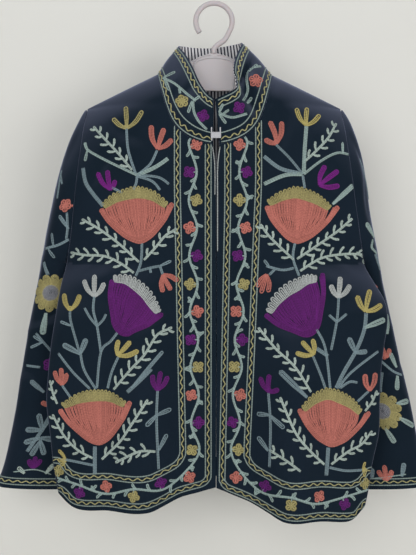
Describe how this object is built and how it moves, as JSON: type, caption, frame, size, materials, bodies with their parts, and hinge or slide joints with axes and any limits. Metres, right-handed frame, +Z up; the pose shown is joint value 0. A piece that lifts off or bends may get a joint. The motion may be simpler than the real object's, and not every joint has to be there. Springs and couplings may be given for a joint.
{
  "type": "velvet jacket with stand collar on a moulded hanger",
  "caption": "Hip-length jacket with a stand collar and long open sleeves, hanging on a flat moulded hanger with a hooked top.",
  "frame": {"origin": "inner top of the hanger's hook, where a rail or nail carries it", "axes": "+Z up, the fronts face -Y, +X is the wearer's left"},
  "size_m": [0.6749, 0.1372, 0.7941],
  "materials": {
    "velvet": "cotton velvet with chain-stitch embroidery",
    "striped_cotton": "woven cotton with narrow dark stripes",
    "hanger_plastic": "pale moulded plastic",
    "clasp_metal": "pale worn metal"
  },
  "bodies": {
    "root": {"front_right": "velvet", "front_left": "velvet", "back": "velvet", "sleeve_right": "velvet", "sleeve_left": "velvet", "collar": "velvet", "collar_lining": "striped_cotton", "back_lining": "striped_cotton", "hanger": "hanger_plastic", "hanger_hook": "hanger_plastic", "closure_bar": "clasp_metal", "closure_hook": "clasp_metal"}
  },
  "joints": []
}
